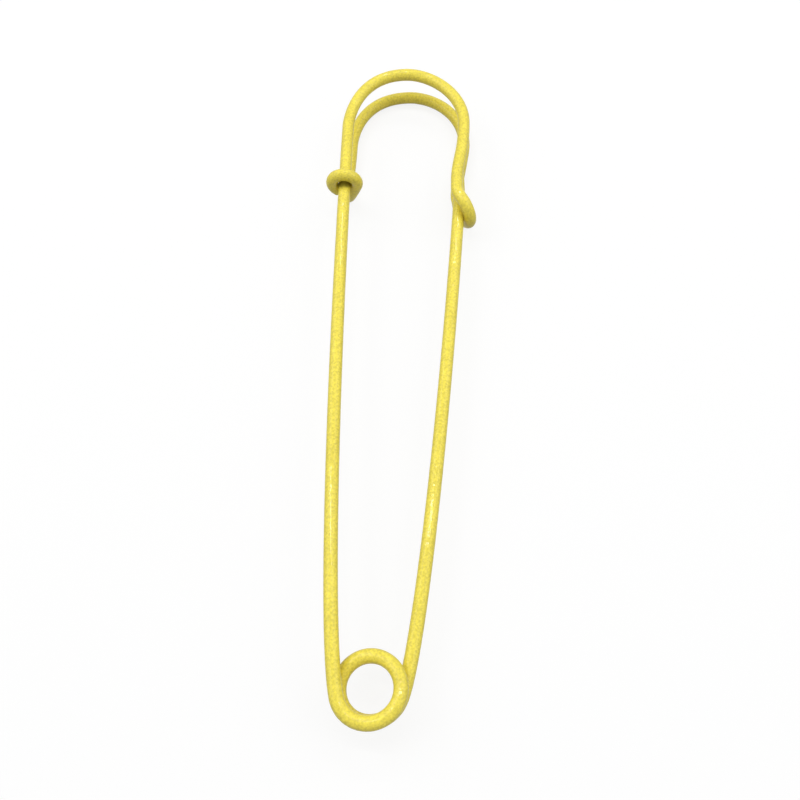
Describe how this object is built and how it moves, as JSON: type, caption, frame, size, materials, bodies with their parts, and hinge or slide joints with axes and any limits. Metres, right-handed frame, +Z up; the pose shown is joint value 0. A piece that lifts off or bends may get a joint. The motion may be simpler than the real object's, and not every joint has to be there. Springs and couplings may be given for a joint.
{
  "type": "safety pin",
  "caption": "Large powder-coated wire safety pin: spring coil, back arm with a wrapped collar, paired clasp arches with a hooked catch, and a sharp pin arm that springs open.",
  "frame": {"origin": "middle of the underside of the pin as it lies on its back, on the plane that the rear strands rest on", "axes": "+X from the back arm to the pin arm, +Y from the coil to the clasp, +Z up from the rear strands to the front strand"},
  "size_m": [0.0278, 0.1208, 0.0105],
  "materials": {
    "powder_coated_wire": "satin yellow powder coat with a fine orange-peel grain, over steel spring wire"
  },
  "bodies": {
    "back": {"back_arm": "powder_coated_wire", "coil_turn": "powder_coated_wire", "front_arch": "powder_coated_wire", "front_catch_strand": "powder_coated_wire", "catch_hook": "powder_coated_wire", "rear_catch_strand": "powder_coated_wire", "rear_arch": "powder_coated_wire", "rear_tail": "powder_coated_wire", "collar_wrap": "powder_coated_wire"},
    "heel": {"pin_heel": "powder_coated_wire"},
    "pin": {"pin_shank": "powder_coated_wire", "pin_point": "powder_coated_wire"}
  },
  "joints": [
    {"name": "pin_open", "type": "hinge", "parent": "back", "child": "heel", "pos_m": [0.00009, -0.05476, 0.00408], "axis": [0, 0, -1], "range_deg": [0, 18]},
    {"name": "point_sidestep", "type": "hinge", "parent": "heel", "child": "pin", "pos_m": [0.00726, -0.03654, 0.00408], "axis": [0.0476, 0.989, 0.1402], "range_deg": [0, 360]}
  ],
  "couplings": [
    {"joint": "point_sidestep", "follows": "pin_open", "ratio": 20}
  ]
}
